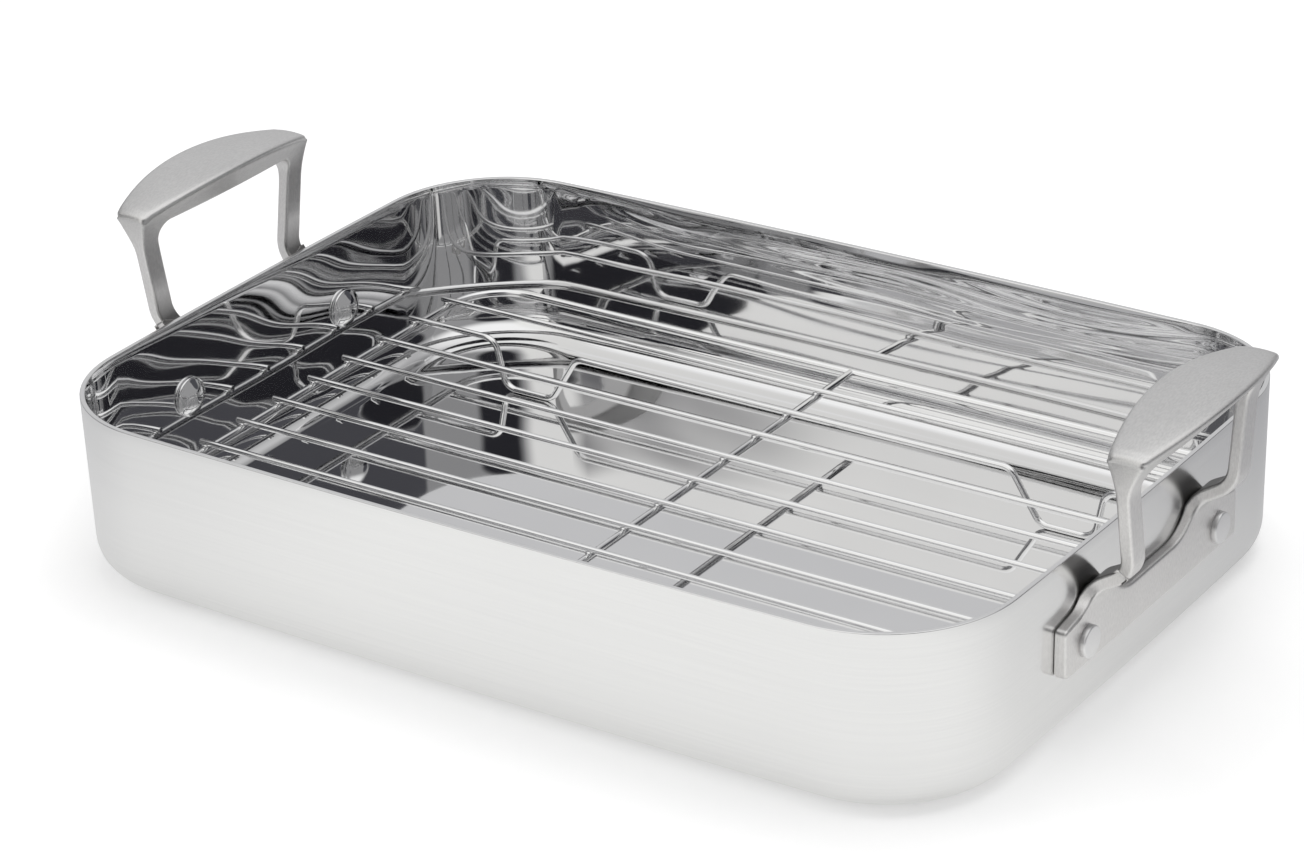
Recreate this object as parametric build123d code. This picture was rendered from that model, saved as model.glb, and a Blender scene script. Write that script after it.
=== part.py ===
from build123d import *
import math
import os

# Roasting pan with a lift-out wire rack, in millimetres.
# +X runs along the pan, +Z is up, the origin is the middle of the base on the worktop.

# Pan: a drawn steel tray with slightly bowed, slightly flared walls
pan_length = 400.0
pan_width = 286.0
pan_height = 72.0
sheet_thickness = 2.0
rim_corner_radius = 52.0
long_side_bow = 2.7
short_side_bow = 2.25
wall_flare_deg = 0.85
base_edge_radius = 14.0
rim_edge_chamfer = 0.3

# Handle: one casting with a riveted plate, two splayed uprights and a crowned grip
plate_length = 130.0
plate_thickness = 5.2
wall_seat_depth = 0.6
plate_bottom_height = 29.3
bar_depth = 16.2
wing_depth = 18.7
wing_rise = 4.0
plate_corner_radius = 2.0
root_outer_radius = 13.0
root_inner_radius = 20.0
arm_start_height = 49.5
arm_reach = 14.9
arm_lean_deg = 60.0
arm_bend_radius = 10.5
upright_width = 9.5
upright_splay_deg = 9.5
grip_length = 105.0
grip_top_width = 32.0
grip_end_width = 14.5
grip_base_width = 12.5
grip_base_end_width = 9.0
grip_base_sink = 1.5
grip_middle_height = 119.0
grip_arch_rise = 6.5
grip_end_depth = 6.5
window_corner_radius = 6.0
grip_flare_height = 20.0
grip_flare_cover = 1.5
grip_end_round = 3.0
grip_edge_drop = 1.3
grip_edge_inset = 1.0
grip_crown = 0.8

# Rivets: solid steel, flat heads outside and domed heads inside
rivet_shank_diameter = 6.0
rivet_outer_head_diameter = 12.0
rivet_outer_head_height = 2.8
rivet_head_chamfer = 0.7
rivet_inner_head_diameter = 16.5
rivet_inner_head_height = 5.2
rivet_inner_head_edge = 1.6
rivet_dome_shares = ((1.0, 0.0), (0.8, 0.62), (0.42, 1.0))
rivet_end_inset = 15.0
rivet_height_on_plate = 9.2
rivet_hole_clearance = 0.1

# Rack: welded round wire standing on four bent feet
ring_wire_diameter = 3.6
rack_wire_diameter = 2.6
cross_wire_diameter = 3.2
ring_corner_radius = 25.0
ring_end_gap = 11.4
ring_side_gap = 8.2
wire_count = 10
outer_wire_inset = 27.0
wire_overhang = 2.4
rack_height_on_floor = 22.4
foot_gap = 0.05
leg_wire_order = 2
leg_inset = 41.5
leg_top_width = 41.0
leg_outer_slope = 4.5
foot_length = 23.5
leg_bend_radius = 6.5
ring_bend_steps = 4
leg_bend_steps = 2

# One overrun serves every cutting tool
overrun = 4.0

# Derived places on the pan
half_length = pan_length / 2
half_width = pan_width / 2
flare = math.tan(math.radians(wall_flare_deg))
inner_half_length = half_length - sheet_thickness
inner_half_width = half_width - sheet_thickness


def pan_outline(inset, height):
    """Bowed rectangle with round corners, drawn inside the rim by inset."""
    x = half_length - short_side_bow - inset
    y = half_width - long_side_bow - inset
    corners = [(x, y), (-x, y), (-x, -y), (x, -y)]
    middles = [(0, y + long_side_bow), (-x - short_side_bow, 0), (0, -y - long_side_bow),
               (x + short_side_bow, 0)]
    sides = []
    for place, middle in enumerate(middles):
        sides.append(ThreePointArc(corners[place], middle, corners[(place + 1) % len(corners)]))
    face = make_face(Curve() + sides)
    face = fillet(face.vertices(), rim_corner_radius - inset)
    return Pos(0, 0, height) * face


def flared_block(inset, bottom, top):
    """Solid inside an outline, drawn in toward the base by the flare of the wall."""
    rim = pan_outline(inset, top)
    return extrude(rim, amount=top - bottom, dir=(0, 0, -1), taper=wall_flare_deg)


def make_pan():
    """Outer block less inner block, with both base edges rounded."""
    outer = flared_block(0, 0, pan_height)
    outer = fillet(outer.edges().group_by(Axis.Z)[0], base_edge_radius)
    inner = flared_block(sheet_thickness, sheet_thickness, pan_height)
    inner = fillet(inner.edges().group_by(Axis.Z)[0], base_edge_radius - sheet_thickness)
    shell = outer - inner
    shell = chamfer(shell.edges().group_by(Axis.Z)[-1], rim_edge_chamfer)
    return outer, shell


# Derived places on the handle
plate_half_length = plate_length / 2
wall_at_plate = half_length - (pan_height - plate_bottom_height - bar_depth / 2) * flare
plate_back_x = wall_at_plate - wall_seat_depth
plate_face_x = plate_back_x + plate_thickness
plate_middle_x = (plate_back_x + plate_face_x) / 2
upright_back_x = plate_back_x + arm_reach
upright_face_x = plate_face_x + arm_reach
upright_middle_x = plate_middle_x + arm_reach
arm_lean = math.radians(arm_lean_deg)
arm_run = (arm_reach - 2 * arm_bend_radius * (1 - math.cos(arm_lean))) / math.sin(arm_lean)
arm_rise = 2 * arm_bend_radius * math.sin(arm_lean) + arm_run * math.cos(arm_lean)
arm_top_height = arm_start_height + arm_rise
grip_half_length = grip_length / 2
grip_end_height = grip_middle_height - grip_arch_rise
grip_underside_height = grip_end_height - grip_end_depth
splay = math.tan(math.radians(upright_splay_deg))
# Share of the grip's width that lies on the pan side of the uprights
end_back_share = 0.36
middle_back_share = 0.4
grip_section_shares = (-1.08, -0.75, -0.4, 0, 0.4, 0.75, 1.08)
rivet_y = plate_half_length - rivet_end_inset
rivet_z = plate_bottom_height + rivet_height_on_plate


def handle_front():
    """Handle seen along X: plate with wings, splayed uprights, arched grip and hand window."""
    wing_top = plate_bottom_height + wing_depth
    root_height = wing_top + wing_rise
    root_y = grip_half_length - (grip_end_height - root_height) * splay
    low_corner = (plate_half_length, plate_bottom_height)
    wing_corner = (plate_half_length, wing_top)
    root = (root_y, root_height)
    top = (grip_half_length, grip_end_height)

    def flip(point):
        return (-point[0], point[1])

    side = FilletPolyline((0, plate_bottom_height), low_corner, wing_corner, root, top,
                          radius=[plate_corner_radius, plate_corner_radius, root_outer_radius])
    arch = ThreePointArc(top, (0, grip_middle_height + grip_crown), flip(top))
    outline = make_face(Curve() + [side, arch, mirror(side, about=Plane.YZ)])
    outline = fillet(outline.vertices().group_by(Axis.Y)[-1], grip_end_round)

    bar_top = plate_bottom_height + bar_depth
    window_top_y = grip_half_length - upright_width - (grip_end_height - grip_underside_height) * splay
    window_low_y = window_top_y - (grip_underside_height - bar_top) * splay
    half_window = FilletPolyline((0, bar_top), (window_low_y, bar_top),
                                 (window_top_y, grip_underside_height), (0, grip_underside_height),
                                 radius=[root_inner_radius, window_corner_radius])
    window = make_face(Curve() + [half_window, mirror(half_window, about=Plane.YZ)])
    # The sketch plane is turned so that its x runs along Y and its y along Z
    front = Plane(origin=(0, 0, 0), x_dir=(0, 1, 0), z_dir=(1, 0, 0))
    return extrude(front * (outline - window), amount=half_length + pan_length)


def handle_side():
    """Handle seen along Y: plate on the wall, S bend outward, uprights that flare to the grip."""
    near = arm_bend_radius - plate_thickness / 2
    far = arm_bend_radius + plate_thickness / 2
    first_centre = (plate_middle_x + arm_bend_radius, arm_start_height)
    second_centre = (upright_middle_x - arm_bend_radius, arm_top_height)

    def on_circle(centre, radius, angle):
        return (centre[0] + radius * math.cos(angle), centre[1] + radius * math.sin(angle))

    def first_arc(radius):
        angles = (math.pi, math.pi - arm_lean / 2, math.pi - arm_lean)
        return ThreePointArc(*[on_circle(first_centre, radius, angle) for angle in angles])

    def second_arc(radius):
        angles = (-arm_lean, -arm_lean / 2, 0)
        return ThreePointArc(*[on_circle(second_centre, radius, angle) for angle in angles])

    def s_bend(first_radius, second_radius):
        low = first_arc(first_radius)
        high = second_arc(second_radius)
        return [low, Line(low @ 1, high @ 0), high]

    flare_top = grip_end_height - grip_flare_cover
    flare_start = flare_top - grip_flare_height
    flare_width = grip_end_width - grip_flare_cover
    end_back_x = upright_middle_x - flare_width * end_back_share
    end_face_x = end_back_x + flare_width
    outer_flare = Spline((upright_face_x, flare_start), (end_face_x, flare_top),
                         tangents=[(0, 1), (end_face_x - upright_face_x, grip_flare_height / 2)])
    inner_flare = Spline((upright_back_x, flare_start), (end_back_x, flare_top),
                         tangents=[(0, 1), (end_back_x - upright_back_x, grip_flare_height / 2)])
    pieces = [
        Line((plate_back_x, plate_bottom_height), (plate_face_x, plate_bottom_height)),
        Line((plate_face_x, plate_bottom_height), (plate_face_x, arm_start_height)),
        *s_bend(near, far),
        Line((upright_face_x, arm_top_height), (upright_face_x, flare_start)),
        outer_flare,
        Line((end_face_x, flare_top), (end_back_x, flare_top)),
        inner_flare,
        Line((upright_back_x, flare_start), (upright_back_x, arm_top_height)),
        *s_bend(far, near),
        Line((plate_back_x, arm_start_height), (plate_back_x, plate_bottom_height)),
    ]
    face = make_face(Curve() + pieces)
    side = Plane(origin=(0, 0, 0), x_dir=(1, 0, 0), z_dir=(0, -1, 0))
    return extrude(side * face, amount=plate_length, both=True)


def arc_rise(place, half_chord, sagitta):
    """Height of a circular arc above its chord at a place along the chord."""
    radius = (half_chord ** 2 + sagitta ** 2) / (2 * sagitta)
    return math.sqrt(radius ** 2 - place ** 2) - radius + sagitta


def grip_section(y):
    """Cross section of the grip at y: crowned top, sides drawn in to a narrow underside."""
    swell = max(0, 1 - (y / grip_half_length) ** 2)
    top_width = grip_end_width + (grip_top_width - grip_end_width) * swell
    base_width = grip_base_end_width + (grip_base_width - grip_base_end_width) * swell
    back_share = end_back_share + (middle_back_share - end_back_share) * swell
    arch = arc_rise(y, grip_half_length, grip_arch_rise) if swell else 0
    top_z = grip_end_height + arch - grip_crown
    top_back = upright_middle_x - top_width * back_share
    base_back = upright_middle_x - base_width * back_share
    top_face = top_back + top_width
    base_face = base_back + base_width
    base_z = grip_underside_height - grip_base_sink
    side_z = top_z - grip_edge_drop
    outline = Curve() + [
        Polyline((top_back + grip_edge_inset, top_z), (top_back, side_z), (base_back, base_z),
                 (base_face, base_z), (top_face, side_z), (top_face - grip_edge_inset, top_z)),
        ThreePointArc((top_face - grip_edge_inset, top_z),
                      ((top_face + top_back) / 2, top_z + grip_crown),
                      (top_back + grip_edge_inset, top_z)),
    ]
    face = make_face(outline)
    return Plane(origin=(0, y, 0), x_dir=(1, 0, 0), z_dir=(0, -1, 0)) * face


def make_right_handle(pan_block):
    """Front outline and side profile intersected, with the wide grip joined on."""
    sections = [grip_section(grip_half_length * share) for share in grip_section_shares]
    front = handle_front()
    frame = handle_side() & front
    grip = loft(sections, ruled=True) & front
    return frame + grip - pan_block


def rivet_hole(length):
    """Bore through the wall and the plate, along X."""
    bore = Cylinder(rivet_shank_diameter / 2 + rivet_hole_clearance, length)
    return Pos(half_length, 0, rivet_z) * Rot(0, 90, 0) * bore


def make_right_rivet(y, wall):
    """Flat head on the plate, domed head on the inner wall, shank between them."""
    inner_wall_x = wall_at_plate - sheet_thickness
    seat_x = inner_wall_x + sheet_thickness / 2
    along_x = Plane(origin=(plate_face_x, y, rivet_z), z_dir=(1, 0, 0))
    head = extrude(along_x * Circle(rivet_outer_head_diameter / 2), amount=rivet_outer_head_height)
    head = chamfer(head.edges().group_by(Axis.X)[-1], rivet_head_chamfer)
    into_pan = Plane(origin=(seat_x, y, rivet_z), z_dir=(-1, 0, 0))
    rim = sheet_thickness / 2 + rivet_inner_head_edge
    dome_height = rivet_inner_head_height - rivet_inner_head_edge
    radius = rivet_inner_head_diameter / 2
    blank = extrude(Circle(radius), amount=rim)
    for low, high in zip(rivet_dome_shares, rivet_dome_shares[1:]):
        band_height = dome_height * (high[1] - low[1])
        band = Cone(radius * low[0], radius * high[0], band_height)
        blank += Pos(0, 0, rim + dome_height * low[1] + band_height / 2) * band
    dome = into_pan * blank - wall
    shank_length = plate_face_x - seat_x + rim
    shank_start = Plane(origin=(plate_face_x, y, rivet_z), z_dir=(-1, 0, 0))
    shank = extrude(shank_start * Circle(rivet_shank_diameter / 2), amount=shank_length)
    return head + dome + shank


# Derived places on the rack
ring_radius = ring_wire_diameter / 2
wire_radius = rack_wire_diameter / 2
cross_radius = cross_wire_diameter / 2
wire_z = sheet_thickness + rack_height_on_floor
ring_z = wire_z - wire_radius - ring_radius
cross_z = wire_z - wire_radius - cross_radius
wall_lean = (pan_height - ring_z) * flare
ring_half_length = inner_half_length - wall_lean - ring_end_gap - ring_radius
ring_half_width = inner_half_width - wall_lean - ring_side_gap - ring_radius
wire_pitch = 2 * (ring_half_width - outer_wire_inset) / (wire_count - 1)


def wire_along(path, radius, normal, bend_steps):
    """Round wire along a flat path: straight runs, and bends drawn in short ruled steps."""
    runs = []
    for edge in path.edges():
        start = Plane(origin=edge @ 0, x_dir=normal, z_dir=edge % 0) * Circle(radius)
        if edge.geom_type == GeomType.LINE:
            runs.append(extrude(start, amount=edge.length))
            continue
        circles = [start]
        for step in range(1, bend_steps + 1):
            share = step / bend_steps
            there = Plane(origin=edge @ share, x_dir=normal, z_dir=edge % share)
            circles.append(there * Circle(radius))
        runs.append(loft(circles, ruled=True))
    return Part() + runs


def make_ring():
    """Heavy wire bent into a rounded rectangle."""
    path = RectangleRounded(2 * ring_half_length, 2 * ring_half_width, ring_corner_radius).wire()
    return wire_along(Pos(0, 0, ring_z) * path, ring_radius, (0, 0, 1), ring_bend_steps)


def bar_along_x(half_span, radius, y, z):
    """Straight round wire centred on x = 0."""
    return Pos(0, y, z) * Rot(0, 90, 0) * Cylinder(radius, 2 * half_span)


def wire_half_span(y):
    """Half length of a long wire that ends just past the ring."""
    into_corner = abs(y) - (ring_half_width - ring_corner_radius)
    if into_corner <= 0:
        return ring_half_length + wire_overhang
    drawn_in = ring_corner_radius - math.sqrt(ring_corner_radius ** 2 - into_corner ** 2)
    return ring_half_length - drawn_in + wire_overhang


def make_leg_wire(y):
    """Long wire with a bent foot near each end."""
    foot_z = sheet_thickness + wire_radius + foot_gap
    span = wire_half_span(y)
    outer_top = ring_half_length - leg_inset
    inner_top = outer_top - leg_top_width
    outer_foot = outer_top - leg_outer_slope
    inner_foot = outer_foot - foot_length
    right = [(inner_top, wire_z), (inner_foot, foot_z), (outer_foot, foot_z), (outer_top, wire_z),
             (span, wire_z)]
    left = [(-x, z) for x, z in reversed(right)]
    points = [(x, y, z) for x, z in left + right]
    path = FilletPolyline(*points, radius=leg_bend_radius)
    return wire_along(path, wire_radius, (0, 1, 0), leg_bend_steps)


def make_rack():
    """Ring, cross wire and long wires that lie on both, with two of them bent into feet."""
    cross = Pos(0, 0, cross_z) * Rot(90, 0, 0) * Cylinder(cross_radius, 2 * ring_half_width)
    ring = make_ring()
    pieces = {"rack_ring": ring, "rack_cross_wire": cross - ring}
    for number in range(wire_count):
        y = (number - (wire_count - 1) / 2) * wire_pitch
        name = f"rack_wire_{number + 1:02d}"
        if number in (leg_wire_order - 1, wire_count - leg_wire_order):
            pieces[name.replace("wire", "leg_wire")] = make_leg_wire(y)
        else:
            pieces[name] = bar_along_x(wire_half_span(y), wire_radius, y, wire_z)
    return pieces


def build():
    """All pieces by node name."""
    pan_block, pan_shell = make_pan()
    right_handle = make_right_handle(pan_block)
    bore_length = 2 * (plate_thickness + sheet_thickness + overrun)
    for y in (-rivet_y, rivet_y):
        right_handle = right_handle - Pos(0, y, 0) * rivet_hole(bore_length)
    right_rivets = Compound([make_right_rivet(y, pan_shell) for y in (-rivet_y, rivet_y)])
    for y in (-rivet_y, rivet_y):
        hole = Pos(0, y, 0) * rivet_hole(bore_length)
        pan_shell = pan_shell - hole - mirror(hole, about=Plane.YZ)
    pieces = {"pan_shell": pan_shell}
    pieces["right_rivets"] = right_rivets
    pieces["left_rivets"] = mirror(right_rivets, about=Plane.YZ)
    pieces["right_handle"] = right_handle
    pieces["left_handle"] = mirror(right_handle, about=Plane.YZ)
    pieces.update(make_rack())
    return pieces


os.makedirs("parts", exist_ok=True)
for node_name, solid in build().items():
    export_step(solid, f"parts/{node_name}.step")
    print(node_name, "solids", len(solid.solids()), "volume", round(solid.volume, 1))
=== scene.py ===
import math

import bmesh
import bpy
from mathutils import Matrix, Vector


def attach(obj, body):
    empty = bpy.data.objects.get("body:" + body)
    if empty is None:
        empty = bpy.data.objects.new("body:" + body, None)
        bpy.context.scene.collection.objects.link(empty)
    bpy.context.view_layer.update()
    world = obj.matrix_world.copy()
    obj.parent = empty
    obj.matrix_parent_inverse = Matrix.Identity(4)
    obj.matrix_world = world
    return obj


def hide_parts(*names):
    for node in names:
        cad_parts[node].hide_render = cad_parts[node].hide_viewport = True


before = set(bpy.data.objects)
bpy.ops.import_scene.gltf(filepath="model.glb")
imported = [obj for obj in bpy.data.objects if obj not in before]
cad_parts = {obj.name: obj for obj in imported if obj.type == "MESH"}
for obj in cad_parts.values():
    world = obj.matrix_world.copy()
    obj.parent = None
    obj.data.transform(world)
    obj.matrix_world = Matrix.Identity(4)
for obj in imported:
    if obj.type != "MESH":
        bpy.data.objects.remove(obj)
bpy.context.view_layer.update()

# Metres in a millimetre
MM = 0.001

# Sizes of the part, in millimetres, as in the CAD source
pan_length = 400.0
pan_width = 286.0
pan_height = 72.0
sheet_thickness = 2.0
rim_corner_radius = 52.0
long_side_bow = 2.7
short_side_bow = 2.25
wall_flare_deg = 0.85
base_edge_radius = 14.0
rim_edge_round = 0.35

plate_length = 130.0
plate_thickness = 5.2
wall_seat_depth = 0.6
plate_bottom_height = 29.3
bar_depth = 16.2
wing_depth = 18.7
wing_rise = 4.0
plate_corner_radius = 2.0
root_outer_radius = 13.0
root_inner_radius = 20.0
arm_start_height = 49.5
arm_reach = 14.9
arm_lean_deg = 60.0
arm_bend_radius = 10.5
upright_width = 9.5
upright_splay_deg = 9.5
grip_length = 105.0
grip_top_width = 32.0
grip_end_width = 14.5
grip_base_width = 12.5
grip_base_end_width = 9.0
grip_base_sink = 1.5
grip_middle_height = 119.0
grip_arch_rise = 6.5
grip_end_depth = 6.5
window_corner_radius = 6.0
grip_flare_height = 20.0
grip_flare_cover = 1.5
grip_end_round = 3.0
grip_crown = 0.8
crown_fade = 5.0
end_back_share = 0.36
middle_back_share = 0.4

rivet_outer_head_diameter = 12.0
rivet_outer_head_height = 2.8
rivet_inner_head_diameter = 16.5
rivet_inner_head_height = 5.2
rivet_inner_head_edge = 1.6
rivet_end_inset = 15.0
rivet_height_on_plate = 9.2

ring_wire_diameter = 3.6
rack_wire_diameter = 2.6
cross_wire_diameter = 3.2
ring_corner_radius = 25.0
ring_end_gap = 11.4
ring_side_gap = 8.2
wire_count = 10
outer_wire_inset = 27.0
wire_overhang = 2.4
rack_height_on_floor = 22.4
foot_gap = 0.05
leg_wire_order = 2
leg_inset = 41.5
leg_top_width = 41.0
leg_outer_slope = 4.5
foot_length = 23.5
leg_bend_radius = 6.5

# Fine detail that only the scene has, in millimetres
weld_length = 1.5
weld_width = 0.9
weld_depth = 0.8
weld_offset_share = 0.7
wire_end_round = 0.25
cross_wire_bite_share = 0.4
handle_edge_round = 1.0
grip_edge_round = 2.6
grip_edge_reach = 2.0
window_edge_round = 1.2
grip_blend_width = 2.0
plate_gap = 0.02
outer_head_crown = 0.35
outer_head_edge = 0.7
inner_head_edge = 0.5

# Curve of the flare under the grip: share of its square term, the rest is cubed, and where it stops
flare_square_share = 0.35
flare_overrun = 1.2

# Fineness of the meshes
wire_sides = 28
rivet_sides = 64
edge_steps = 4
handle_round_steps = 5
handle_face_steps = 10
handle_window_steps = 4
handle_top_steps = 14
grip_rows = 24
grip_corner_rows = 40
upright_rows = 26
s_bend_rows = 40
wing_rows = 140
short_rows = 8

# Heights on the uprights that give the direction of their edges, in millimetres
outer_mark = 90.0
window_mark = 80.0

# Derived places, as in the CAD source
half_length = pan_length / 2
half_width = pan_width / 2
flare = math.tan(math.radians(wall_flare_deg))
plate_half_length = plate_length / 2
wall_at_plate = half_length - (pan_height - plate_bottom_height - bar_depth / 2) * flare
plate_back_x = wall_at_plate - wall_seat_depth
plate_face_x = plate_back_x + plate_thickness
plate_middle_x = (plate_back_x + plate_face_x) / 2
arm_lean = math.radians(arm_lean_deg)
bend_rise = arm_bend_radius * math.sin(arm_lean)
bend_reach = arm_bend_radius * (1 - math.cos(arm_lean))
arm_run = (arm_reach - 2 * bend_reach) / math.sin(arm_lean)
arm_top_height = arm_start_height + 2 * bend_rise + arm_run * math.cos(arm_lean)
grip_half_length = grip_length / 2
grip_end_height = grip_middle_height - grip_arch_rise
grip_underside_height = grip_end_height - grip_end_depth
splay = math.tan(math.radians(upright_splay_deg))
rivet_y = plate_half_length - rivet_end_inset
rivet_z = plate_bottom_height + rivet_height_on_plate
ring_radius = ring_wire_diameter / 2
wire_radius = rack_wire_diameter / 2
cross_radius = cross_wire_diameter / 2
wire_z = sheet_thickness + rack_height_on_floor
ring_z = wire_z - wire_radius - ring_radius
cross_z = wire_z - wire_radius - cross_radius
wall_lean = (pan_height - ring_z) * flare
ring_half_length = half_length - sheet_thickness - wall_lean - ring_end_gap - ring_radius
ring_half_width = half_width - sheet_thickness - wall_lean - ring_side_gap - ring_radius
wire_pitch = 2 * (ring_half_width - outer_wire_inset) / (wire_count - 1)


# Mesh helpers

def new_object(name, points, faces, material):
    """Smooth mesh object from points in millimetres."""
    mesh = bpy.data.meshes.new(name)
    mesh.from_pydata([[c * MM for c in p] for p in points], [], faces)
    mesh.validate()
    bm = bmesh.new()
    bm.from_mesh(mesh)
    bmesh.ops.remove_doubles(bm, verts=bm.verts, dist=1e-7)
    bmesh.ops.recalc_face_normals(bm, faces=bm.faces)
    bm.to_mesh(mesh)
    bm.free()
    for face in mesh.polygons:
        face.use_smooth = True
    mesh.materials.append(material)
    obj = bpy.data.objects.new(name, mesh)
    bpy.context.scene.collection.objects.link(obj)
    return obj


def circle_angles(count):
    return [2 * math.pi * k / count for k in range(count)]


def grid(rows, close_rows=False, close_columns=False):
    """Points and quads of a grid given as rows of equal length."""
    width = len(rows[0])
    points = [p for row in rows for p in row]
    faces = []
    row_count = len(rows) if close_rows else len(rows) - 1
    column_count = width if close_columns else width - 1
    for r in range(row_count):
        for c in range(column_count):
            below = ((r + 1) % len(rows)) * width
            beside = (c + 1) % width
            faces.append((r * width + c, r * width + beside, below + beside, below + c))
    return points, faces


# Pan

def fillet_circle(x, y, x_bow, y_bow, radius):
    """Centres and angles of the corner circle between two bowed sides."""
    long_radius = (x * x + y_bow * y_bow) / (2 * y_bow)
    short_radius = (y * y + x_bow * x_bow) / (2 * x_bow)
    long_centre = Vector((0, y + y_bow - long_radius))
    short_centre = Vector((x + x_bow - short_radius, 0))
    a, b = long_radius - radius, short_radius - radius
    between = short_centre - long_centre
    distance = between.length
    along = (a * a - b * b + distance * distance) / (2 * distance)
    aside = math.sqrt(a * a - along * along)
    unit = between / distance
    normal = Vector((-unit.y, unit.x))
    candidates = [long_centre + unit * along + normal * aside * side for side in (-1, 1)]
    centre = max(candidates, key=lambda point: point.x + point.y)
    to_long = (centre - long_centre).normalized()
    to_short = (centre - short_centre).normalized()
    return long_centre, long_radius, short_centre, short_radius, centre, to_long, to_short


def outline_points(inset, half_long_steps=20, corner_steps=20, half_short_steps=15):
    """Plan outline of the pan at an inset from the rim, counter-clockwise from +X."""
    x = half_length - short_side_bow - inset
    y = half_width - long_side_bow - inset
    radius = rim_corner_radius - inset
    found = fillet_circle(x, y, short_side_bow, long_side_bow, radius)
    long_centre, long_radius, short_centre, short_radius, centre, to_long, to_short = found
    short_angle = math.atan2(to_short.y, to_short.x)
    long_angle = math.atan2(to_long.y, to_long.x)
    quarter = []
    for step in range(half_short_steps):
        angle = short_angle * step / half_short_steps
        quarter.append(short_centre + short_radius * Vector((math.cos(angle), math.sin(angle))))
    for step in range(corner_steps):
        angle = short_angle + (long_angle - short_angle) * step / corner_steps
        quarter.append(centre + radius * Vector((math.cos(angle), math.sin(angle))))
    for step in range(half_long_steps + 1):
        angle = long_angle + (math.pi / 2 - long_angle) * step / half_long_steps
        quarter.append(long_centre + long_radius * Vector((math.cos(angle), math.sin(angle))))
    left = [Vector((-p.x, p.y)) for p in reversed(quarter[:-1])]
    half = quarter + left
    lower = [Vector((p.x, -p.y)) for p in reversed(half[1:-1])]
    return half + lower


def wall_profile(offset, floor, radius, rows=14, bend_rows=12):
    """Rows of (inset, height) down one side of the wall and through the base edge."""
    lean = math.radians(wall_flare_deg)
    bottom_inset = offset + (pan_height - floor) * flare
    reach = radius * math.tan((math.pi / 2 - lean) / 2)
    centre_inset = bottom_inset + reach
    centre_height = floor + radius
    start_height = centre_height + radius * math.sin(-lean)
    profile = []
    for row in range(rows):
        height = pan_height - rim_edge_round
        height += (start_height - height) * row / rows
        profile.append((offset + (pan_height - height) * flare, height))
    for row in range(bend_rows + 1):
        angle = -lean + (math.pi / 2 + lean) * row / bend_rows
        profile.append((centre_inset - radius * math.cos(angle),
                        centre_height - radius * math.sin(angle)))
    return profile


def ring_of(inset, height):
    return [(p.x, p.y, height) for p in outline_points(inset)]


def floor_rings(profile_end, count=9):
    """Rings that shrink the last outline to the middle of the floor."""
    last = ring_of(*profile_end)
    rings = []
    for step in range(1, count + 1):
        share = 1 - step / (count + 1)
        rings.append([(p[0] * share, p[1] * share, p[2]) for p in last])
    return rings


def add_pan(outside, inside):
    """Pan shell as one closed mesh: outer wall, rim and polished inside."""
    outer = wall_profile(0, 0, base_edge_radius)
    inner = wall_profile(sheet_thickness, sheet_thickness, base_edge_radius - sheet_thickness)
    rim = []
    for step in range(1, edge_steps + 1):
        angle = math.pi / 2 * step / edge_steps
        rim.append((rim_edge_round * (1 - math.cos(angle)),
                    pan_height - rim_edge_round * (1 - math.sin(angle))))
    rim_in = [(sheet_thickness - inset, height) for inset, height in reversed(rim)]
    rows = [ring for ring in reversed(floor_rings(outer[-1]))]
    rows += [ring_of(*place) for place in reversed(outer)]
    rows += [ring_of(*place) for place in rim + rim_in]
    inner_start = len(rows)
    rows += [ring_of(*place) for place in inner]
    rows += floor_rings(inner[-1])
    points, faces = grid(rows, close_columns=True)
    width = len(rows[0])
    for row, height, flip in ((0, 0, True), (len(rows) - 1, sheet_thickness, False)):
        middle = len(points)
        points.append((0, 0, height))
        for c in range(width):
            a, b = row * width + c, row * width + (c + 1) % width
            faces.append((b, a, middle) if flip else (a, b, middle))
    pan = new_object("pan_shell_fine", points, faces, outside)
    pan.data.materials.append(inside)
    for face in pan.data.polygons:
        low = min(face.vertices)
        row = low // width
        if low >= len(rows) * width:
            row = 0 if face.center.z < sheet_thickness * MM / 2 else len(rows)
        face.material_index = 1 if row >= inner_start - 1 else 0
    return pan


# Wires

def tangents_along(path, closed):
    """Unit directions of a path at its points."""
    count = len(path)
    tangents = []
    for index in range(count):
        before = path[index - 1] if index or closed else path[index]
        after = path[(index + 1) % count] if index < count - 1 or closed else path[index]
        tangents.append((after - before).normalized())
    return tangents


def add_wire(name, path, radius, side, material, closed=False):
    """Round wire along a flat path, with slightly rounded cut ends."""
    path = [Vector(p) for p in path]
    tangents = tangents_along(path, closed)
    side = Vector(side)
    rows = []
    for point, tangent in zip(path, tangents):
        up = side.cross(tangent).normalized()
        rows.append([point + (side * math.cos(a) + up * math.sin(a)) * radius
                     for a in circle_angles(wire_sides)])
    if not closed:
        rows = end_rings(path[0], -tangents[0], rows[0]) + rows
        rows += list(reversed(end_rings(path[-1], tangents[-1], rows[-1])))
    points, faces = grid([[tuple(p) for p in row] for row in rows], closed, True)
    if not closed:
        faces.append(tuple(reversed(range(wire_sides))))
        faces.append(tuple(range(len(points) - wire_sides, len(points))))
    return new_object(name, points, faces, material)


def end_rings(centre, outward, ring):
    """Rings that round the cut end of a wire, from the cap inwards."""
    rings = []
    for step in range(edge_steps, 0, -1):
        angle = math.pi / 2 * step / edge_steps
        rings.append([centre + (p - centre) * (1 - wire_end_round * (1 - math.cos(angle)))
                      + outward * (wire_end_round * math.sin(angle)) for p in ring])
    return rings


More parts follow.
